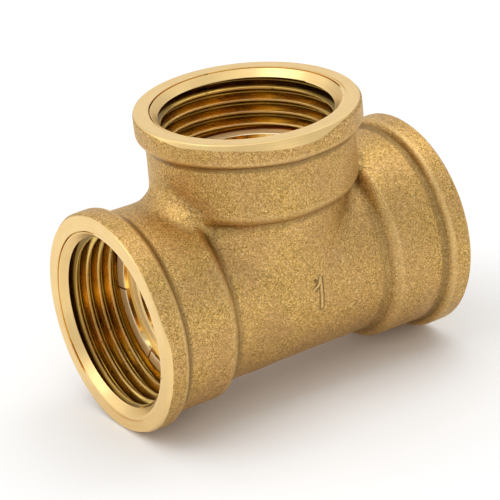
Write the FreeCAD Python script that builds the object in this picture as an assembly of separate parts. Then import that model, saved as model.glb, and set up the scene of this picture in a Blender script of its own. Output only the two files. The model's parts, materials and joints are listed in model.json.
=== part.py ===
import FreeCAD, Part

import math
import os

# Equal tee with three G1 (1 inch) female pipe-thread ports, one brass forging.
# Frame: the run lies along X, the branch points up +Z, and the origin is the
# point where the two centre lines cross.  All sizes are in millimetres.

# Envelope
CENTRE_TO_FACE = 32.0       # from the crossing of the centre lines to each port face
COLLAR_RADIUS = 19.9        # reinforcing collar at each port
SOCKET_RADIUS = 18.4        # socket wall around each thread
RUN_BARREL_RADIUS = 16.4    # waist of the run between its two sockets
BRANCH_BARREL_RADIUS = 16.1  # stub of the branch below its socket

# Depths below the port face
FACE_CHAMFER = 0.55         # turned chamfer on the rim of the face
COLLAR_DEPTH = 4.3          # lower flank of the collar
COLLAR_ROUND = 0.8
COLLAR_FOOT_ROUND = 0.6
SOCKET_DEPTH = 15.2         # lower flank of the socket
SOCKET_ROUND = 1.1
SOCKET_FOOT_ROUND = 0.8
FLANK_LEAN = 0.3            # half the depth of a flank, as a share of its height
CROTCH_ROUND = 2.8          # blend between the branch socket and the run sockets
CROTCH_HALF_WIDTH = 5.0     # the blend fades out this far to each side
CROTCH_SINK = 0.04          # its edges dip this far into the socket walls
CROTCH_ROOT = 2.6           # its root lies this far inside the walls
CROTCH_LEAST = 0.25         # the part of its size that is left at its ends

# G1 thread, ISO 228: 11 threads per inch, 55 degree flanks
THREAD_PITCH = 25.4 / 11.0
MAJOR_RADIUS = 33.249 / 2.0
MINOR_RADIUS = 30.291 / 2.0
HALF_FLANK_ANGLE = math.radians(27.5)
MOUTH_RADIUS = 16.75        # countersink at the face
SHOULDER_DEPTH = 11.2       # the thread ends on this shoulder
RUN_OUT = 1.0               # plain land between the last groove and the shoulder
BRANCH_CREST_DEPTH = 0.69   # depth of the first crest at +Y, in the branch
RUN_CREST_DEPTH = 0.47      # the same in both ports of the run
CUT_MARGIN = 1.0            # the bore cut starts this far outside the face
GROOVE_OVERLAP = 0.05       # the groove cut starts this far inside the minor radius

# Passages below the thread
SEAT_RADIUS = 12.9          # first bore below the thread shoulder
SEAT_DEPTH = 12.75
PASSAGE_RADIUS = 11.2       # water way through the middle
PASSAGE_TRIM = 0.1          # the branch passage is drilled this much smaller

# Raised size numeral on the front of the run
NUMERAL_HEIGHT = 5.8
NUMERAL_STROKE = 0.8
NUMERAL_RELIEF = 0.3
NUMERAL_ROOT = 1.0          # the figure starts this far inside the barrel wall
NUMERAL_X = 1.8
NUMERAL_Z = 0.6
FLAG_REACH = 2.1            # how far the flag goes to the side of the stem's middle
FLAG_DROP = 1.3             # how far it falls on the way

X_AXIS = FreeCAD.Vector(1, 0, 0)
Y_AXIS = FreeCAD.Vector(0, 1, 0)
Z_AXIS = FreeCAD.Vector(0, 0, 1)
CENTRE = FreeCAD.Vector(0, 0, 0)


def rounded_wire(corners):
    """Closed wire in the XY plane; each corner is (x, y, corner radius)."""
    points = [FreeCAD.Vector(x, y, 0) for x, y, _ in corners]
    count = len(points)
    starts, ends, arcs = [], [], []
    for i in range(count):
        corner = points[i]
        back = (points[i - 1] - corner).normalize()
        ahead = (points[(i + 1) % count] - corner).normalize()
        radius = corners[i][2]
        if radius == 0:
            starts.append(corner)
            ends.append(corner)
            arcs.append(None)
            continue
        half_angle = back.getAngle(ahead) / 2
        reach = radius / math.tan(half_angle)
        bisector = (back + ahead).normalize()
        middle = corner + bisector * (radius / math.sin(half_angle) - radius)
        starts.append(corner + back * reach)
        ends.append(corner + ahead * reach)
        arcs.append(Part.Arc(starts[-1], middle, ends[-1]).toShape())
    edges = []
    for i in range(count):
        if arcs[i]:
            edges.append(arcs[i])
        edges.append(Part.makeLine(ends[i], starts[(i + 1) % count]))
    return Part.Wire(edges)


def turned(corners):
    """Solid of revolution about the X axis from a closed profile."""
    return Part.Face(rounded_wire(corners)).revolve(CENTRE, X_AXIS, 360)


def arm_profile(barrel_radius):
    """Outside of one arm from its face inwards, as (depth, radius, rounding)."""
    collar_slope = FLANK_LEAN * (COLLAR_RADIUS - SOCKET_RADIUS)
    socket_slope = FLANK_LEAN * (SOCKET_RADIUS - barrel_radius)
    return [
        (0, COLLAR_RADIUS - FACE_CHAMFER, 0),
        (FACE_CHAMFER, COLLAR_RADIUS, 0),
        (COLLAR_DEPTH - collar_slope, COLLAR_RADIUS, COLLAR_ROUND),
        (COLLAR_DEPTH + collar_slope, SOCKET_RADIUS, COLLAR_FOOT_ROUND),
        (SOCKET_DEPTH - socket_slope, SOCKET_RADIUS, SOCKET_ROUND),
        (SOCKET_DEPTH + socket_slope, barrel_radius, SOCKET_FOOT_ROUND),
    ]


def run_outside():
    """Both arms of the run as one turned solid."""
    profile = arm_profile(RUN_BARREL_RADIUS)
    right = [(CENTRE_TO_FACE - d, r, f) for d, r, f in profile]
    left = [(d - CENTRE_TO_FACE, r, f) for d, r, f in profile]
    corners = [(CENTRE_TO_FACE, 0, 0)] + right + left[::-1] + [(-CENTRE_TO_FACE, 0, 0)]
    return turned(corners)


def branch_outside():
    """The branch arm, turned about X and then stood up along Z."""
    profile = arm_profile(BRANCH_BARREL_RADIUS)
    arm = [(CENTRE_TO_FACE - d, r, f) for d, r, f in profile]
    corners = [(CENTRE_TO_FACE, 0, 0)] + arm + [(0, BRANCH_BARREL_RADIUS, 0), (0, 0, 0)]
    return stand_up(turned(corners))


def stand_up(shape):
    """Turn a shape made along +X so that it lies along +Z."""
    return shape.rotated(CENTRE, FreeCAD.Vector(0, 1, 0), -90)


def crotch_section(y):
    """Fillet-shaped section at one y, where the two socket walls cross."""
    fade = max(math.sqrt(1 - (y / CROTCH_HALF_WIDTH) ** 2), CROTCH_LEAST)
    corner = math.sqrt(SOCKET_RADIUS ** 2 - y ** 2) - CROTCH_SINK
    radius = CROTCH_ROUND * fade
    root = corner - CROTCH_ROOT * fade
    top = FreeCAD.Vector(corner, y, corner + radius)
    middle = corner + radius * (1 - math.sqrt(0.5))
    side = FreeCAD.Vector(corner + radius, y, corner)
    blend = Part.Arc(top, FreeCAD.Vector(middle, y, middle), side).toShape()
    straight = Part.makePolygon([
        side,
        FreeCAD.Vector(corner + radius, y, root),
        FreeCAD.Vector(root, y, root),
        FreeCAD.Vector(root, y, corner + radius),
        top,
    ])
    return Part.Wire([blend] + straight.Edges)


def crotch_web():
    """Blend between the branch socket and the socket of the +X port."""
    steps = 6
    ys = [CROTCH_HALF_WIDTH * (2 * i / steps - 1) for i in range(steps + 1)]
    return Part.makeLoft([crotch_section(y) for y in ys], True)


def outside():
    """The whole forging before anything is drilled."""
    web = crotch_web()
    other_web = web.rotated(CENTRE, Z_AXIS, 180)
    blank = run_outside().fuse([branch_outside(), web, other_web])
    return blank.removeSplitter().Solids[0]


def bore_profile():
    """Inside of one port from just outside its face, as (depth, radius)."""
    land_start = SHOULDER_DEPTH - RUN_OUT
    return [
        (-CUT_MARGIN, MOUTH_RADIUS + CUT_MARGIN),
        (MOUTH_RADIUS - MINOR_RADIUS, MINOR_RADIUS),
        (land_start, MINOR_RADIUS),
        (land_start, SEAT_RADIUS),
        (SEAT_DEPTH, SEAT_RADIUS),
        (SEAT_DEPTH, PASSAGE_RADIUS),
        (CENTRE_TO_FACE, PASSAGE_RADIUS),
    ]


def port_bore(passage_trim):
    """Everything drilled and turned out of one port, along +X."""
    arm = [(CENTRE_TO_FACE - d, r, 0) for d, r in bore_profile()]
    arm = arm[:-2] + [(x, r - passage_trim, f) for x, r, f in arm[-2:]]
    return turned([(arm[0][0], 0, 0)] + arm + [(0, 0, 0)])


def land_quarters():
    """The plain land between the thread and its shoulder, in four quarters, along +X."""
    start = FreeCAD.Vector(CENTRE_TO_FACE - SHOULDER_DEPTH, 0, 0)
    quarter = Part.makeCylinder(MINOR_RADIUS, RUN_OUT, start, X_AXIS, 90)
    return [quarter.rotated(CENTRE, X_AXIS, 90 * i) for i in range(4)]


def thread_groove(crest_depth):
    """Right-hand G1 groove of the branch port; crest_depth is where a crest lies at +Y."""
    half_root = THREAD_PITCH / 12
    half_mouth = THREAD_PITCH * 5 / 12
    half_inner = half_mouth + GROOVE_OVERLAP * math.tan(HALF_FLANK_ANGLE)
    inner = MINOR_RADIUS - GROOVE_OVERLAP
    section = Part.makePolygon([
        FreeCAD.Vector(inner, 0, -half_inner),
        FreeCAD.Vector(MAJOR_RADIUS, 0, -half_root),
        FreeCAD.Vector(MAJOR_RADIUS, 0, half_root),
        FreeCAD.Vector(inner, 0, half_inner),
        FreeCAD.Vector(inner, 0, -half_inner),
    ])
    start = crest_depth - THREAD_PITCH / 4 - 2 * THREAD_PITCH
    end = SHOULDER_DEPTH - RUN_OUT - half_mouth
    helix = Part.makeLongHelix(THREAD_PITCH, end - start, MINOR_RADIUS)
    groove = Part.Wire(helix).makePipeShell([section], True, True)
    groove = groove.rotated(CENTRE, X_AXIS, 180)
    return groove.translated(FreeCAD.Vector(0, 0, CENTRE_TO_FACE - start))


def numeral():
    """Raised size figure: a stem with a flag, following the round of the run."""
    half = NUMERAL_STROKE / 2
    top = NUMERAL_HEIGHT / 2
    outline = Part.makePolygon([
        FreeCAD.Vector(half, 0, -top),
        FreeCAD.Vector(half, 0, top),
        FreeCAD.Vector(0, 0, top),
        FreeCAD.Vector(-FLAG_REACH, 0, top - FLAG_DROP),
        FreeCAD.Vector(-FLAG_REACH, 0, top - FLAG_DROP - NUMERAL_STROKE),
        FreeCAD.Vector(-half, 0, top - NUMERAL_STROKE),
        FreeCAD.Vector(-half, 0, -top),
        FreeCAD.Vector(half, 0, -top),
    ])
    bar = Part.Face(outline).extrude(FreeCAD.Vector(0, -2 * RUN_BARREL_RADIUS, 0))
    bar = bar.translated(FreeCAD.Vector(NUMERAL_X, 0, NUMERAL_Z))
    inner = RUN_BARREL_RADIUS - NUMERAL_ROOT
    outer = RUN_BARREL_RADIUS + NUMERAL_RELIEF
    start = FreeCAD.Vector(-CENTRE_TO_FACE, 0, 0)
    ring = Part.makeCylinder(outer, 2 * CENTRE_TO_FACE, start, X_AXIS)
    ring = ring.cut(Part.makeCylinder(inner, 2 * CENTRE_TO_FACE, start, X_AXIS))
    return bar.common(ring)


def tee_body():
    """The finished fitting: forging, numeral, three bores and three threads."""
    body = outside().fuse(numeral())
    branch_bore = stand_up(port_bore(PASSAGE_TRIM))
    right_bore = port_bore(0)
    left_bore = right_bore.rotated(CENTRE, Z_AXIS, 180)
    body = body.cut([branch_bore, right_bore, left_bore])
    for quarter in land_quarters():
        body = body.cut([
            stand_up(quarter),
            quarter,
            quarter.rotated(CENTRE, Z_AXIS, 180),
        ])
    run_thread = thread_groove(RUN_CREST_DEPTH)
    body = body.cut(thread_groove(BRANCH_CREST_DEPTH))
    body = body.cut(run_thread.rotated(CENTRE, Y_AXIS, 90))
    body = body.cut(run_thread.rotated(CENTRE, Y_AXIS, -90))
    return body.Solids[0]


def main():
    os.makedirs("parts", exist_ok=True)
    body = tee_body()
    body.exportStep("parts/tee_body.step")
    print("tee_body", "valid", body.isValid(), "faces", len(body.Faces), "mm3", round(body.Volume))


main()
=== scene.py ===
import json
import math

import bmesh
import bpy
import numpy as np
from mathutils import Matrix, Vector


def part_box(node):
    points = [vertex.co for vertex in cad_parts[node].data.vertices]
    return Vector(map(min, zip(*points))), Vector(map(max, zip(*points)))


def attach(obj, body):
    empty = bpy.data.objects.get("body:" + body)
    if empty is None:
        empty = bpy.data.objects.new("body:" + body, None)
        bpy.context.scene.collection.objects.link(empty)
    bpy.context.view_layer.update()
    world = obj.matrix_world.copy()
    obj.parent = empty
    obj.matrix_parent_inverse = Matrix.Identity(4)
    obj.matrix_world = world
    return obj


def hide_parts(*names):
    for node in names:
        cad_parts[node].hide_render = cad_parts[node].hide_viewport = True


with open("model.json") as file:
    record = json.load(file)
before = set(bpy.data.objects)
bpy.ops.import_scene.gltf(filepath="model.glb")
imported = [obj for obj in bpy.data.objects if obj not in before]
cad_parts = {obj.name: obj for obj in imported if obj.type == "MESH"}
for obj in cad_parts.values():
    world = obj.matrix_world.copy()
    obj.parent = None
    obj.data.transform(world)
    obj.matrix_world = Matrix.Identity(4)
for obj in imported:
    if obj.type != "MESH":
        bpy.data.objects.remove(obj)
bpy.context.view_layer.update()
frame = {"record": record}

# The brass tee as it looks.  Lengths in the shape functions are millimetres and
# become metres when the mesh is made.  The run lies along X and the branch is +Z.

BODY_LOW, BODY_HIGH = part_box("tee_body")
MOUNTS = {m["name"]: m for m in frame["record"]["mounts"]}
MM = 0.001

# Outside of the forging
FACE = BODY_HIGH[0] / MM            # centre to port face
COLLAR = BODY_HIGH[1] / MM          # collar radius
SOCKET = 18.4
RUN_BARREL = 16.35
BRANCH_BARREL = 16.05
COLLAR_DEPTH = 4.35                 # middle of the collar's lower flank
COLLAR_LEAN = 0.35
COLLAR_ROUND = 0.7
COLLAR_FOOT = 1.0                   # reach of the blend at the foot of the flank
SOCKET_DEPTH = 15.4
SOCKET_LEAN = 0.45
SOCKET_ROUND = 1.1
SOCKET_FOOT = 1.2
SIDE_REACH = 0.8                    # reach of the blend where branch and run meet at the sides
LEFT_CROTCH = 4.3                   # how much further it reaches in the corner with each arm
RIGHT_CROTCH = 1.9
CROTCH_RISE = (1, 7)                # heights over which that extra reach comes in
CROTCH_CHANGE = (-6, 6)             # from the left arm's reach to the right arm's
SHIFT_RANGE = (6, 26)               # from the centre, where the forging leaves the turned axis

# Turned parts of a port
RIM = 19.58                         # outer edge of the flat face
RIM_BEVEL = 0.12                    # bevel on that edge
RIM_TAPER = 0.25                    # how far in the cleaned band takes the edge of the face
BAND_SLOPE = 0.85                   # edge behind the face: radius gained per depth
CUT_SLOPE = 0.40                    # the same where the cutter has cleaned the edge up
MOUTH = 16.7                        # inner edge of the flat face
CONE_SLOPE = 0.85                   # countersink: radius lost per depth
CUT_START = 1.38                    # where the first groove opens in the countersink
MINOR = MOUNTS["left_port"]["dims"]["r_mm"]
PITCH = 25.4 / 11
SHOULDER_DEPTH = 11.2
SEAT = 12.95                        # bore below the thread
SEAT_DEPTH = 12.75
PASSAGE = 11.2                      # water way
PASSAGE_BEVEL = 0.3
THREAD_TOP = 0.09                   # the thread's grid of points starts here
FIRST_FLANK_SHADE = 1.9                   # added to the groove depth on the first flank, to darken it: painted shade
CREST_HALF = 0.14
NICK_DEPTH = 0.5

# One pitch of the thread from crest to crest: along the axis, and outwards
THREAD_PROFILE = [
    (-0.20, 0.10), (-0.13, 0.0), (0.13, 0.0), (0.20, 0.10), (0.53, 0.68), (0.86, 1.28),
    (0.99, 1.43), (1.1545, 1.479), (1.319, 1.43), (1.449, 1.28), (1.779, 0.68),
]

# The raised size figure: its strokes, and a shallow hollow beside it
FIGURE_STROKES = [
    ((1.72, 3.35), (1.52, -2.2)), ((1.70, 3.2), (1.25, 2.25)), ((1.25, 2.25), (0.40, 1.70)),
]
FIGURE_HEIGHT = 0.19
FIGURE_EDGE = (0.06, 0.36)          # from the middle of a stroke, where it slopes down
FIGURE_WEAR_AND_SHADE = 0.7                   # share of the figure that counts for the wear on its edges and the painted shade round it
HOLLOW_PLACE = (0.70, 3.05)
HOLLOW_DEPTH = 0.16
HOLLOW_EDGE = (0.05, 0.62)
FINE_X = (-0.9, 3.1)                # the part of the skin with finer faces
FINE_Z = (-3.3, 4.5)

# Search range for the skin, and how finely the surface is divided
SKIN_NEAR, SKIN_FAR = 12, 25
SEARCH_STEPS = 26
COLLAR_END = 6.3                    # depth below the collar's foot
COLLAR_ROWS = 20
ARM_ROWS = 53
COLUMNS = 200
SKIN, TURNED, THREAD, BORE, FACED = range(5)

X = np.array([1.0, 0.0, 0.0])
Y = np.array([0.0, 1.0, 0.0])
Z = np.array([0.0, 0.0, 1.0])

# name: outward axis, direction at angle 0, direction at a quarter turn, which way the
# thread deepens with the angle, depth of a crest at angle 0, how far the forging sits
# off the turned axis
ARMS = {
    "left": (-X, Z, -Y, 1, 1.045, (0.0, 0.22, 0.12)),
    "right": (X, Z, -Y, -1, 2.2, (0.0, -0.1, 0.14)),
    "branch": (Z, -X, -Y, -1, 0.109, (0.12, -0.14, 0.0)),
}


# ---------------------------------------------------------------- shape of the forging

def waves(seed, lengths, heights, count=6):
    """Random plane waves, as (wave vectors, phases, heights)."""
    rng = np.random.default_rng(seed)
    vectors, phases, sizes = [], [], []
    for length, height in zip(lengths, heights):
        for _ in range(count):
            way = rng.normal(size=3)
            vectors.append(way / np.linalg.norm(way) * 2 * math.pi / length)
            phases.append(rng.uniform(0, 2 * math.pi))
            sizes.append(height / math.sqrt(count))
    return np.array(vectors), np.array(phases), np.array(sizes)


LUMPS = waves(11, (21.0, 8.5, 3.6), (0.09, 0.035, 0.012))


def ripple(points, wave_set):
    """Height of a set of waves at each point."""
    vectors, phases, heights = wave_set
    return np.sin(points @ vectors.T + phases) @ heights


def smooth_min(a, b, reach):
    """Union of two shapes with a rounded inner corner."""
    near = np.clip(1 - np.abs(a - b) / reach, 0, 1)
    return np.minimum(a, b) - near ** 2 * reach / 4


def rounded_edge(a, b, radius):
    """Two walls that meet in a rounded outer corner."""
    beyond = np.hypot(np.maximum(a + radius, 0), np.maximum(b + radius, 0))
    return beyond + np.minimum(np.maximum(a, b) + radius, 0) - radius


def smooth_step(a, b, value):
    """0 up to a, 1 from b on, and a smooth rise between them."""
    t = np.clip((value - a) / (b - a), 0, 1)
    return t * t * (3 - 2 * t)


def arm_wall(depth, radius, barrel):
    """Collar, socket and barrel of one arm."""
    lean = COLLAR_LEAN * (radius - (COLLAR + SOCKET) / 2)
    flank = (depth - COLLAR_DEPTH + lean) / math.hypot(1, COLLAR_LEAN)
    collar = rounded_edge(flank, radius - COLLAR, COLLAR_ROUND)
    lean = SOCKET_LEAN * (radius - (SOCKET + barrel) / 2)
    flank = (depth - SOCKET_DEPTH + lean) / math.hypot(1, SOCKET_LEAN)
    socket = rounded_edge(flank, radius - SOCKET, SOCKET_ROUND)
    return smooth_min(smooth_min(collar, socket, COLLAR_FOOT), radius - barrel, SOCKET_FOOT)


def numeral_relief(points):
    """Height of the raised size figure over the front of the run."""
    x, y, z = points.T
    gap = np.full(len(x), np.inf)
    for (ax, az), (bx, bz) in FIGURE_STROKES:
        dx, dz = bx - ax, bz - az
        t = np.clip(((x - ax) * dx + (z - az) * dz) / (dx * dx + dz * dz), 0, 1)
        gap = np.minimum(gap, np.hypot(x - ax - t * dx, z - az - t * dz))
    ridge = FIGURE_HEIGHT * (1 - smooth_step(*FIGURE_EDGE, gap))
    away = np.hypot(x - HOLLOW_PLACE[0], z - HOLLOW_PLACE[1])
    hollow = HOLLOW_DEPTH * (1 - smooth_step(*HOLLOW_EDGE, away))
    return np.where(y < 0, ridge - hollow, 0)


def forging(points, figure=1.0):
    """Signed distance to the skin of the forging: less than 0 inside.  figure scales the
    relief of the size figure."""
    x, y, z = points.T
    out = smooth_step(*SHIFT_RANGE, np.abs(x))
    left, right, branch = (np.array(ARMS[n][5]) for n in ("left", "right", "branch"))
    off_y = out * np.where(x < 0, left[1], right[1])
    off_z = out * np.where(x < 0, left[2], right[2])
    run_radius = np.hypot(y - off_y, z - off_z)
    run = arm_wall(FACE - np.abs(x), run_radius, RUN_BARREL)
    up = smooth_step(*SHIFT_RANGE, z)
    flat = np.hypot(x - up * branch[0], y - up * branch[1])
    branch_radius = np.hypot(flat, np.minimum(z, 0))
    stem = arm_wall(FACE - z, branch_radius, BRANCH_BARREL)
    along = np.clip(1 - y * y / np.maximum(run_radius * branch_radius, 1e-6), 0, 1)
    along = along * smooth_step(*CROTCH_RISE, z)
    crotch = LEFT_CROTCH + (RIGHT_CROTCH - LEFT_CROTCH) * smooth_step(*CROTCH_CHANGE, x)
    body = smooth_min(run, stem, SIDE_REACH + crotch * along)
    return body - ripple(points, LUMPS) - figure * numeral_relief(points)


def reach_skin(start, way, near, far):
    """How far along each ray the skin lies."""
    low = np.full(len(start), float(near))
    high = np.full(len(start), float(far))
    for _ in range(SEARCH_STEPS):
        middle = (low + high) / 2
        inside = forging(start + way * middle[:, None]) < 0
        low = np.where(inside, middle, low)
        high = np.where(inside, high, middle)
    return (low + high) / 2


# ---------------------------------------------------------------- building the surface

ANGLES = np.arange(COLUMNS) * 2 * math.pi / COLUMNS
QUARTER = COLUMNS // 4
points, lathe, grooves, quads, kinds = [], [], [], [], []


def out_from(arm, angles=ANGLES):
    """Unit vectors away from an arm's axis."""
    _, first, second, _, _, _ = ARMS[arm]
    return np.outer(np.cos(angles), first) + np.outer(np.sin(angles), second)


def add(positions, angles, path, groove):
    """New points; path is the distance along the turned profile, groove the depth in the
    thread.  Returns their numbers."""
    start = len(points)
    path = np.broadcast_to(path, len(positions))
    points.extend(positions)
    lathe.extend(np.stack([np.cos(angles), np.sin(angles), path], 1))
    grooves.extend(np.broadcast_to(groove, len(positions)))
    return np.arange(start, start + len(positions))


def ring(arm, depth, radius, path, angles=ANGLES, groove=0.0):
    """A ring of points round an arm."""
    axis = ARMS[arm][0]
    depth = np.broadcast_to(depth, len(angles))
    radius = np.broadcast_to(radius, len(angles))
    place = out_from(arm, angles) * radius[:, None] + np.outer(FACE - depth, axis)
    return add(place, angles, path, groove)


def face(kind, *corners):
    """A face, leaving out corners that coincide."""
    kept = [c for i, c in enumerate(corners) if c != corners[i - 1]]
    if len(set(kept)) >= 3:
        quads.append(kept)
        kinds.append(kind)


def strip(kind, one, other):
    """Faces between two rings."""
    for a, b, c, d in zip(one, np.roll(one, -1), np.roll(other, -1), other):
        face(kind, int(a), int(b), int(c), int(d))


def row_spacing():
    """Depths, and how many rows of the skin lie above each."""
    knots = [0, 3.0, 3.4, 5.6, 6.3, 13.2, 14.0, 16.8, 17.6, 33]
    gaps = [0.5, 0.5, 0.2, 0.2, 0.6, 0.6, 0.23, 0.23, 0.5, 0.55]
    depth = np.linspace(knots[0], knots[-1], 3301)
    rows = np.cumsum(1 / np.interp(depth, knots, gaps)) * (depth[1] - depth[0])
    return depth, rows


def spread(start, end, count):
    """count depths from start to end for each column, close together at the steps."""
    depth, rows = row_spacing()
    a, b = np.interp(start, depth, rows), np.interp(end, depth, rows)
    share = np.linspace(0, 1, count)[:, None]
    return np.interp(a + (b - a) * share, rows, depth)


def seam_rise(arm):
    """Distance from the centre along the arm, per unit of radius, where two arms meet."""
    rise = np.cos(ANGLES)
    return np.abs(rise) if arm == "branch" else np.maximum(rise, 0)


def cleaned(arm):
    """1 where the cutter has left a bright band behind the face, falling to 0."""
    centre, half = {"left": (128, 42), "right": (200, 25), "branch": (58, 34)}[arm]
    return window(ANGLES, centre, half, 30)


def skin(arm, seam):
    """Skin of one arm, from the edge behind the face to the seam.  seam holds the numbers
    of the seam points that another arm has made, or -1."""
    axis = ARMS[arm][0]
    way = out_from(arm)
    clean = cleaned(arm)
    slope = BAND_SLOPE + (CUT_SLOPE - BAND_SLOPE) * clean
    band = RIM + RIM_BEVEL - RIM_TAPER * clean
    rim = np.outer(np.full(COLUMNS, FACE - RIM_BEVEL), axis) + band[:, None] * way
    edge = RIM_BEVEL + reach_skin(rim, slope[:, None] * way - axis, 0, 2.5)
    rise = seam_rise(arm)
    centre = np.zeros((COLUMNS, 3))
    seam_radius = reach_skin(centre, way + np.outer(rise, axis), SKIN_NEAR, SKIN_FAR)
    end = FACE - seam_radius * rise
    change = np.full(COLUMNS, COLLAR_END)
    depths = np.concatenate([
        spread(edge, change, COLLAR_ROWS), spread(change, end, ARM_ROWS)[1:],
    ])
    rings = [ring(arm, edge, band + slope * (edge - RIM_BEVEL), edge)]
    for depth in depths[1:-1]:
        start = np.outer(FACE - depth, axis)
        radius = reach_skin(start, way, SKIN_NEAR, SKIN_FAR)
        rings.append(ring(arm, depth, radius, depth))
    last = ring(arm, end, seam_radius, end)
    rings.append(np.where(seam >= 0, seam, last))
    for one, other in zip(rings, rings[1:]):
        strip(SKIN, one, other)
    middle = RIM_BEVEL + (edge - RIM_BEVEL) * (0.06 + 0.86 * clean)
    inner = ring(arm, middle, band + slope * (middle - RIM_BEVEL), middle)
    strip(SKIN, inner, rings[0])
    return inner, rings[-1]


def window(angles, centre, half, soft):
    """1 within half of centre, in degrees, falling to 0 over soft."""
    away = np.abs((np.degrees(angles) - centre + 180) % 360 - 180)
    return 1 - smooth_step(half, half + soft, away)


def thread_radius(offset):
    """Radius at a distance below a crest."""
    along = [p[0] for p in THREAD_PROFILE]
    out = [p[1] for p in THREAD_PROFILE]
    return MINOR + np.interp(offset, along, out, period=PITCH)


def next_turn(marks, per_turn):
    """The marks with one more column, which is the first column a turn further down."""
    below = np.vstack([marks[per_turn:, :1], np.zeros((per_turn, 1), bool)])
    return np.hstack([marks, below])


def thread(arm, top, bottom):
    """The helical thread between two rings, its rows following the helix."""
    _, _, _, sense, crest, _ = ARMS[arm]
    per_turn = len(THREAD_PROFILE)
    along = np.array([p[0] for p in THREAD_PROFILE])
    out = np.array([p[1] for p in THREAD_PROFILE])
    first = math.floor((THREAD_TOP - crest) / PITCH - 1) * per_turn
    last = math.ceil((SHOULDER_DEPTH - crest) / PITCH + 1) * per_turn
    rows = np.arange(first, last + 1)
    order = np.arange(COLUMNS)
    depth = (crest + PITCH * (rows // per_turn) + along[rows % per_turn])[:, None]
    depth = depth + PITCH * order / COLUMNS
    radius = np.broadcast_to((MINOR + out[rows % per_turn])[:, None], depth.shape).copy()
    over = radius - (MOUTH - CONE_SLOPE * depth)
    over[depth < CUT_START] = -1
    upper, lower = over[:-1], over[1:]
    crossing = (upper * lower < 0) & (depth[1:] > THREAD_TOP)
    share = np.where(crossing, upper / np.where(crossing, upper - lower, 1), 0)
    step = depth[1:] - depth[:-1]
    opens = crossing & (depth[:-1] < CUT_START)
    share = np.where(opens, (CUT_START - depth[:-1]) / step, share)
    met = depth[:-1] + share * step
    snap_up, snap_down = crossing & (share < 0.5), crossing & (share >= 0.5)
    depth[:-1][snap_up] = met[snap_up]
    depth[1:][snap_down] = met[snap_down]
    cone = MOUTH - CONE_SLOPE * depth
    radius[:-1][snap_up] = cone[:-1][snap_up]
    radius[1:][snap_down] = cone[1:][snap_down]
    on_cone = (cone >= radius - 1e-9) | (depth < CUT_START + 1e-9)
    met_cone = np.zeros(depth.shape, bool)
    met_cone[:-1] |= snap_up
    met_cone[1:] |= snap_down
    radius = np.where(on_cone, cone, radius)
    groove = np.where(on_cone, 0, radius - MINOR)
    first = crest + PITCH * order / COLUMNS
    first = np.where(first > CUT_START + 0.3, first, first + PITCH)
    # Painted shade: the first flank below the countersink gets a higher groove value
    groove[(depth < first - CREST_HALF) & (groove > 0.05)] += FIRST_FLANK_SHADE
    path = np.where(on_cone, depth * 1.3, 30 + rows[:, None] * 0.33)
    column = (sense * order) % COLUMNS
    numbers = np.empty((len(rows) + per_turn, COLUMNS + 1), int)
    numbers[:, :COLUMNS] = bottom[column]
    for i in range(len(rows)):
        new = ring(arm, depth[i], radius[i], path[i], ANGLES[column], groove[i])
        line = np.where(depth[i] < THREAD_TOP + 0.01, top[column], new)
        numbers[i, :COLUMNS] = np.where(depth[i] > SHOULDER_DEPTH - 0.01, bottom[column], line)
    numbers[:-per_turn, COLUMNS] = numbers[per_turn:, 0]
    numbers[-per_turn:, COLUMNS] = bottom[0]
    on_cone, met_cone = next_turn(on_cone, per_turn), next_turn(met_cone, per_turn)
    for i in range(len(rows) - 1):
        for j in range(COLUMNS):
            a, b = numbers[i, j], numbers[i, j + 1]
            c, d = numbers[i + 1, j + 1], numbers[i + 1, j]
            edge = met_cone[i:i + 2, j:j + 2]
            if edge[0, 0] and edge[1, 1]:
                cone_side = on_cone[i, j + 1], on_cone[i + 1, j]
                face(TURNED if cone_side[0] else THREAD, a, b, c)
                face(TURNED if cone_side[1] else THREAD, a, c, d)
            elif edge[0, 1] and edge[1, 0]:
                cone_side = on_cone[i, j], on_cone[i + 1, j + 1]
                face(TURNED if cone_side[0] else THREAD, a, b, d)
                face(TURNED if cone_side[1] else THREAD, b, c, d)
            else:
                face(TURNED if on_cone[i:i + 2, j:j + 2].all() else THREAD, a, b, c, d)


def turned_face(arm, edge_ring):
    """Cleaned band, bevel, flat face and the lip of the mouth.  Returns the ring where the
    thread starts."""
    lip = {
        "left": window(ANGLES, 288, 66, 3) * (0.7 + window(ANGLES, 227, 3, 14)),
        "right": window(ANGLES, 120, 60, 10),
        "branch": window(ANGLES, 270, 100, 14),
    }[arm]
    mark = 0.14 * window(ANGLES, 210, 45, 25)
    wide = 0.2 * window(ANGLES, 236, 12, 20) if arm == "left" else 0.0
    rim = RIM - RIM_TAPER * cleaned(arm)
    rows = [
        (RIM_BEVEL, rim + RIM_BEVEL), (0.03, rim + 0.07), (0, rim), (0, rim - 0.3),
        (0, 18.3), (0, 17.48), (mark, 17.43), (mark, 17.36), (0, 17.31), (0, 17.04 + wide),
        (0, 17.01 + wide), (0.6 * lip, 16.95 + wide), (0.6 * lip, 16.83),
        (0.16 * lip, 16.76), (0.10 * lip, MOUTH + 0.02),
    ]
    last = edge_ring
    # The lip groove's strips take the thread material, and their groove value darkens them:
    # painted shade in the lip line
    row_kinds = [TURNED] * 11 + [THREAD] * 3 + [TURNED]
    lip_shade_rows = [0] * 11 + [1, 1, 0, 0]
    for kind, (depth, radius), groove in zip(row_kinds, rows, lip_shade_rows):
        now = ring(arm, depth, radius, 20 - radius, groove=1.3 * groove * np.minimum(lip, 1))
        strip(kind, last, now)
        last = now
    top = ring(arm, THREAD_TOP, MOUTH - CONE_SLOPE * THREAD_TOP, 3.4)
    strip(TURNED, last, top)
    return top


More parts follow.
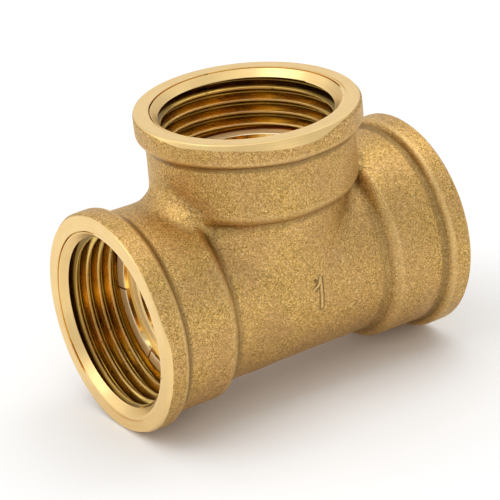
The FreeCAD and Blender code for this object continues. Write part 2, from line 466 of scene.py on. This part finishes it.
def shoulder(arm, bottom):
    """Shoulder below the thread, the seat bore and the second shoulder."""
    cuts, roughness = {
        "left": ((263.5, 209.0), 0.12), "right": ((80.0,), 0.3), "branch": ((40.0,), 0.7),
    }[arm]
    angles = ANGLES.copy()
    nick = np.zeros(COLUMNS)
    for cut in np.radians(cuts):
        middle = int(round(cut / ANGLES[1]))
        angles[middle - 1:middle + 2] = cut + np.radians([-0.7, 0, 0.7])
        nick[middle] = NICK_DEPTH
    burr = ripple(np.stack([np.cos(ANGLES), np.sin(ANGLES), 0 * ANGLES], 1) * 9, LUMPS)
    last = bottom
    rows = [(15.05, 0), (14.2, 0), (13.5, 0), (SEAT + 0.16 + roughness * burr, 0), (SEAT, 0.12)]
    for radius, depth in rows:
        outside = radius is rows[0][0]
        groove = np.maximum(0.8 * outside, 2.5 * nick)
        now = ring(arm, SHOULDER_DEPTH + depth + nick, radius, 60 - radius, angles, groove)
        strip(THREAD if outside else FACED, last, now)
        for middle in np.flatnonzero(nick):
            kinds[middle - 1 - COLUMNS] = kinds[middle - COLUMNS] = THREAD
        last = now
    for depth in (11.8, 12.3, SEAT_DEPTH - 0.04):
        now = ring(arm, depth, SEAT, 50 + depth)
        strip(BORE, last, now)
        last = now
    for radius in (SEAT - 0.05, 12.3, PASSAGE + 0.35):
        now = ring(arm, SEAT_DEPTH, radius, 80 - radius)
        strip(FACED, last, now)
        last = now
    now = ring(arm, SEAT_DEPTH + PASSAGE_BEVEL, PASSAGE, 90)
    strip(TURNED, last, now)
    return now


def passage(arm, last, seam):
    """Water way from the second shoulder to the middle."""
    end = FACE - PASSAGE * seam_rise(arm)
    start = SEAT_DEPTH + PASSAGE_BEVEL
    for share in np.linspace(0, 1, 8)[1:-1]:
        now = ring(arm, start + (end - start) * share, PASSAGE, 95 + 10 * share)
        strip(BORE, last, now)
        last = now
    final = ring(arm, end, PASSAGE, 105)
    final = np.where(seam >= 0, seam, final)
    strip(BORE, last, final)
    return final


def shared_seams(left, right):
    """Seam numbers of the branch, from those of the two arms of the run."""
    column = np.arange(COLUMNS)
    mirrored = (COLUMNS // 2 - column) % COLUMNS
    near_left = (column <= QUARTER) | (column >= 3 * QUARTER)
    return np.where(near_left, left, right[mirrored])


def build():
    """All points and faces of the fitting."""
    none = np.full(COLUMNS, -1)
    column = np.arange(COLUMNS)
    lower = (column >= QUARTER) & (column <= 3 * QUARTER)
    skin_seam, bore_seam = {}, {}
    for arm in ARMS:
        if arm == "left":
            outer, inner = none, none
        elif arm == "right":
            outer = np.where(lower, skin_seam["left"], -1)
            inner = np.where(lower, bore_seam["left"], -1)
        else:
            outer = shared_seams(skin_seam["left"], skin_seam["right"])
            inner = shared_seams(bore_seam["left"], bore_seam["right"])
        edge_ring, skin_seam[arm] = skin(arm, outer)
        top = turned_face(arm, edge_ring)
        _, _, _, sense, crest, _ = ARMS[arm]
        meets = thread_radius(SHOULDER_DEPTH - crest - sense * PITCH * ANGLES / (2 * math.pi))
        bottom = ring(arm, SHOULDER_DEPTH, meets, 59 - meets)
        thread(arm, top, bottom)
        bore_seam[arm] = passage(arm, shoulder(arm, bottom), inner)


def refine(mesh):
    """Finer faces under the size figure, set back on to the skin."""
    bm = bmesh.new()
    bm.from_mesh(mesh)
    faces = []
    for f in bm.faces:
        c = f.calc_center_median() / MM
        near = FINE_X[0] < c.x < FINE_X[1] and FINE_Z[0] < c.z < FINE_Z[1] and c.y < 0
        if near and f.material_index == SKIN:
            faces.append(f)
    edges = list({e for f in faces for e in f.edges})
    bmesh.ops.subdivide_edges(bm, edges=edges, cuts=3, use_grid_fill=True)
    new = [v for v in bm.verts if v.index < 0 or v.index >= len(mesh.vertices)]
    place = np.array([v.co for v in new]) / MM
    away = place * np.array([0, 1, 1])
    way = away / np.linalg.norm(away, axis=1)[:, None]
    start = place * X
    far = reach_skin(start, way, SKIN_NEAR, 20)
    for v, s, w, r in zip(new, start, way, far):
        v.co = Vector((s + w * r) * MM)
    bmesh.ops.remove_doubles(bm, verts=bm.verts, dist=2e-7)
    bmesh.ops.recalc_face_normals(bm, faces=bm.faces)
    bm.to_mesh(mesh)
    bm.free()


def make_mesh():
    """The fitting as one mesh, with the values that its materials read."""
    build()
    used = sorted({c for q in quads for c in q})
    renumber = {old: new for new, old in enumerate(used)}
    place = np.array(points)[used] * MM
    mesh = bpy.data.meshes.new("tee_fitting")
    mesh.from_pydata(place.tolist(), [], [[renumber[c] for c in q] for q in quads])
    mesh.polygons.foreach_set("material_index", kinds)
    turning = mesh.attributes.new("lathe", "FLOAT_VECTOR", "POINT")
    turning.data.foreach_set("vector", np.array(lathe)[used].ravel())
    deep = mesh.attributes.new("groove", "FLOAT", "POINT")
    deep.data.foreach_set("value", np.array(grooves)[used])
    refine(mesh)
    co = np.empty(len(mesh.vertices) * 3)
    mesh.vertices.foreach_get("co", co)
    co = co.reshape(-1, 3) / MM
    # Curvature of the skin: the skin material lightens ridges and edges as wear, and darkens
    # hollows and creases as painted shade
    step = 0.35
    bend = -6 * forging(co, FIGURE_WEAR_AND_SHADE)
    for way in (X, Y, Z):
        bend += forging(co + step * way, FIGURE_WEAR_AND_SHADE) + forging(co - step * way, FIGURE_WEAR_AND_SHADE)
    wear_and_shade = mesh.attributes.new("bend", "FLOAT", "POINT")
    wear_and_shade.data.foreach_set("value", bend / step ** 2)
    mesh.shade_smooth()
    mesh.set_sharp_from_angle(angle=math.radians(38))
    return mesh


# ---------------------------------------------------------------- materials

class Graph:
    """Short way to write a material's nodes."""

    def __init__(self, name):
        self.material = bpy.data.materials.new(name)
        self.material.use_nodes = True
        self.tree = self.material.node_tree
        self.shader = self.tree.nodes["Principled BSDF"]

    def add(self, kind, inputs=(), output=0, **settings):
        node = self.tree.nodes.new(kind)
        for key, value in settings.items():
            setattr(node, key, value)
        for key, value in dict(inputs).items():
            self.put(node, key, value)
        return node.outputs[output]

    def put(self, node, key, value):
        if isinstance(value, bpy.types.NodeSocket):
            self.tree.links.new(value, node.inputs[key])
        else:
            node.inputs[key].default_value = value

    def set(self, **values):
        for key, value in values.items():
            self.put(self.shader, key.replace("_", " "), value)

    def place(self):
        return self.add("ShaderNodeTexCoord", output=3)

    def noise(self, vector, scale, detail=2.0, roughness=0.5):
        return self.add("ShaderNodeTexNoise", {
            "Vector": vector, "Scale": scale, "Detail": detail, "Roughness": roughness,
        })

    def fit(self, value, low, high, to_low=0.0, to_high=1.0):
        return self.add("ShaderNodeMapRange", {
            0: value, 1: low, 2: high, 3: to_low, 4: to_high,
        }, clamp=True)

    def math(self, operation, a, b=0.0):
        return self.add("ShaderNodeMath", {0: a, 1: b}, operation=operation)

    def speckle(self, vector, scale, channel=0):
        """A random level for each grain."""
        cells = self.add("ShaderNodeTexVoronoi", {"Vector": vector, "Scale": scale}, output=1)
        return self.add("ShaderNodeSeparateXYZ", {0: cells}, output=channel)

    def attribute(self, name):
        return self.add("ShaderNodeAttribute", output=2, attribute_name=name)

    def mix(self, share, a, b, blend="MIX"):
        return self.add("ShaderNodeMix", {0: share, 6: a, 7: b}, output=2,
                        data_type="RGBA", blend_type=blend)

    def bump(self, height, distance, strength):
        return self.add("ShaderNodeBump", {
            "Height": height, "Distance": distance, "Strength": strength,
        })

    def lathe(self, around, across):
        """Turning marks: long round the axis, short across it."""
        where = self.add("ShaderNodeAttribute", output=1, attribute_name="lathe")
        return self.add("ShaderNodeVectorMath", {0: where, 1: (around, around, across)},
                        operation="MULTIPLY")


def skin_material():
    """Shot-blasted forging skin."""
    g = Graph("forged_brass")
    place = g.place()
    grain = g.speckle(place, 5900)
    # Random level per grain; the highest levels pick the grains for the painted glints
    painted_glint = g.speckle(place, 3900, 1)
    soft = g.noise(place, 4000, 2.0, 0.6)
    hue = g.noise(place, 130, 3.0, 0.6)
    blotch = g.noise(place, 260, 3.0, 0.6)
    broad = g.noise(place, 75, 2.0, 0.5)
    mixed = g.math("ADD", g.math("MULTIPLY", grain, 0.7), g.math("MULTIPLY", soft, 0.3))
    colour = g.mix(g.fit(mixed, 0.14, 0.86), (0.25, 0.145, 0.036, 1), (0.87, 0.56, 0.18, 1))
    # Painted glints: a few grains coloured pale bright yellow
    colour = g.mix(g.fit(painted_glint, 0.93, 0.97, 0.0, 0.55), colour, (1.0, 0.78, 0.36, 1))
    colour = g.mix(g.fit(blotch, 0.35, 0.7, 0.0, 0.3), colour, (0.64, 0.41, 0.15, 1))
    colour = g.mix(g.fit(broad, 0.4, 0.65, 0.0, 0.25), colour, (0.42, 0.26, 0.095, 1))
    colour = g.mix(g.fit(hue, 0.4, 0.6), colour, (0.99, 0.965, 1.07, 1), "MULTIPLY")
    bend = g.attribute("bend")
    # Wear: lighter on ridges and outer edges
    colour = g.mix(g.fit(bend, 0.25, 1.2, 0.0, 0.4), colour, (0.86, 0.62, 0.28, 1))
    # Painted shade: darker in creases, hollows, where the arms meet and round the figure
    colour = g.mix(g.fit(bend, -0.12, -0.9, 0.0, 0.8), colour, (0.17, 0.11, 0.04, 1))
    g.set(
        Base_Color=colour, Metallic=1.0,
        Roughness=g.fit(soft, 0.3, 0.7, 0.56, 0.42),
        Normal=g.bump(g.noise(place, 4300, 1.0, 0.5), 0.00009, 0.6),
    )
    return g.material


def turned_material():
    """Turned faces, with fine rings."""
    g = Graph("turned_brass")
    rings = g.noise(g.lathe(1.2, 7.0), 1.0, 3.0, 0.7)
    fine = g.noise(g.lathe(1.5, 22.0), 1.0, 2.0, 0.6)
    cloud = g.noise(g.place(), 170, 3.0, 0.6)
    colour = g.mix(g.fit(rings, 0.3, 0.7), (0.84, 0.59, 0.25, 1), (0.90, 0.66, 0.30, 1))
    colour = g.mix(g.fit(cloud, 0.45, 0.7, 0.0, 0.5), colour, (0.80, 0.54, 0.23, 1))
    colour = g.mix(g.fit(fine, 0.60, 0.70, 0.0, 0.6), colour, (0.55, 0.36, 0.13, 1))
    height = g.math("ADD", rings, g.math("MULTIPLY", fine, 0.4))
    g.set(
        Base_Color=colour, Metallic=1.0,
        Roughness=g.fit(fine, 0.3, 0.7, 0.30, 0.42),
        Normal=g.bump(height, 0.00002, 0.7),
    )
    return g.material


def faced_material():
    """Coarsely faced shoulders, pale and dull."""
    g = Graph("faced_brass")
    rings = g.noise(g.lathe(2.0, 9.0), 1.0, 3.0, 0.7)
    colour = g.mix(g.fit(rings, 0.3, 0.7), (1.0, 0.80, 0.48, 1), (1.0, 0.88, 0.62, 1))
    g.set(
        Base_Color=colour, Metallic=1.0,
        Roughness=g.fit(rings, 0.3, 0.7, 0.5, 0.65),
        Normal=g.bump(rings, 0.00002, 0.6),
    )
    return g.material


def thread_material():
    """Cut thread: scratches round the port, pale dull crests, darker towards the root."""
    g = Graph("thread_brass")
    marks = g.noise(g.lathe(2.0, 12.0), 1.0, 3.0, 0.65)
    dirt = g.fit(g.noise(g.place(), 900, 2.0, 0.5), 0.66, 0.73)
    groove = g.attribute("groove")
    deep = g.fit(groove, 0.0, 0.07)
    cut = g.mix(g.fit(marks, 0.3, 0.7), (0.70, 0.47, 0.11, 1), (0.86, 0.60, 0.17, 1))
    cut = g.mix(g.fit(groove, 0.5, 1.45, 0.0, 0.85), cut, (0.24, 0.15, 0.025, 1))
    # Painted shade on the first flank
    cut = g.mix(g.fit(groove, 1.5, FIRST_FLANK_SHADE, 0.0, 0.65), cut, (0.16, 0.09, 0.018, 1))
    colour = g.mix(deep, (0.92, 0.67, 0.33, 1), cut)
    colour = g.mix(g.math("MULTIPLY", dirt, 0.7), colour, (0.16, 0.12, 0.05, 1))
    flank = g.fit(marks, 0.3, 0.7, 0.14, 0.22)
    g.set(
        Base_Color=colour, Metallic=1.0,
        Roughness=g.math("ADD", flank, g.fit(deep, 0.0, 1.0, 0.22, 0.0)),
        Normal=g.bump(marks, 0.000008, 0.35),
    )
    return g.material


def bore_material():
    """Smooth bores below the thread."""
    g = Graph("bored_brass")
    marks = g.noise(g.lathe(2.0, 9.0), 1.0, 3.0, 0.65)
    colour = g.mix(g.fit(marks, 0.3, 0.7), (0.80, 0.57, 0.22, 1), (0.88, 0.67, 0.30, 1))
    g.set(
        Base_Color=colour, Metallic=1.0,
        Roughness=g.fit(marks, 0.3, 0.7, 0.09, 0.17),
        Normal=g.bump(marks, 0.000006, 0.4),
    )
    return g.material


def floor_material():
    g = Graph("pale_floor")
    tone = g.noise(g.place(), 3.0, 2.0, 0.5)
    g.set(Base_Color=g.mix(tone, (0.89, 0.89, 0.89, 1), (0.92, 0.92, 0.92, 1)), Roughness=0.9)
    return g.material


# ---------------------------------------------------------------- the scene

def fitting():
    mesh = make_mesh()
    for made in (skin_material, turned_material, thread_material, bore_material, faced_material):
        mesh.materials.append(made())
    body = bpy.data.objects.new("tee_fitting", mesh)
    bpy.context.scene.collection.objects.link(body)
    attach(body, "root")
    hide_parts("tee_body")


def floor():
    size = 4.0
    bpy.ops.mesh.primitive_plane_add(size=size, location=(0, 0, BODY_LOW[2]))
    plane = bpy.context.object
    plane.name = "floor"
    plane.data.materials.append(floor_material())


def softbox(name, place, size, power):
    """A white panel aimed at the middle of the fitting."""
    light = bpy.data.lights.new(name, "AREA")
    light.shape = "RECTANGLE"
    light.size, light.size_y = size
    light.energy = power
    lamp = bpy.data.objects.new(name, light)
    lamp.location = place
    lamp.rotation_euler = (-Vector(place)).to_track_quat("-Z", "Y").to_euler()
    lamp.visible_camera = False
    bpy.context.scene.collection.objects.link(lamp)


def lights():
    softbox("overhead", (-0.10, 0.05, 0.80), (0.8, 0.8), 1.6)
    softbox("over_left", (-0.60, 0.10, 0.75), (0.6, 0.6), 1.6)
    softbox("over_right", (0.50, 0.05, 0.80), (0.6, 0.6), 1.4)
    softbox("back_left", (-0.75, 0.75, 0.40), (0.8, 0.6), 1.0)
    softbox("back_right", (0.60, 0.95, 0.50), (0.8, 0.6), 0.35)
    softbox("front", (0.00, -0.90, 0.15), (0.4, 0.25), 0.45)
    world = bpy.data.worlds.new("studio")
    bpy.context.scene.world = world
    world.use_nodes = True
    background = world.node_tree.nodes["Background"]
    background.inputs["Color"].default_value = (1.0, 1.0, 1.0, 1)
    background.inputs["Strength"].default_value = 0.74


def camera():
    """The camera, looking at aim from place, tilted about its line of sight."""
    place = Vector((-0.21323, -0.33868, 0.18790))
    aim = Vector((-0.00062, 0.00215, 0.00325))
    tilt = math.radians(5.289)
    data = bpy.data.cameras.new("camera")
    data.lens = 178.65
    data.sensor_width = 36.0
    data.clip_start, data.clip_end = 0.01, 10.0
    made = bpy.data.objects.new("camera", data)
    turn = (aim - place).to_track_quat("-Z", "Y").to_matrix() @ Matrix.Rotation(-tilt, 3, "Z")
    made.matrix_world = Matrix.Translation(place) @ turn.to_4x4()
    bpy.context.scene.collection.objects.link(made)
    bpy.context.scene.camera = made


def sizes():
    """Brings the view layer up to date."""
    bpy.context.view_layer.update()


fitting()
floor()
lights()
camera()
bpy.context.scene.view_settings.view_transform = "Standard"
sizes()
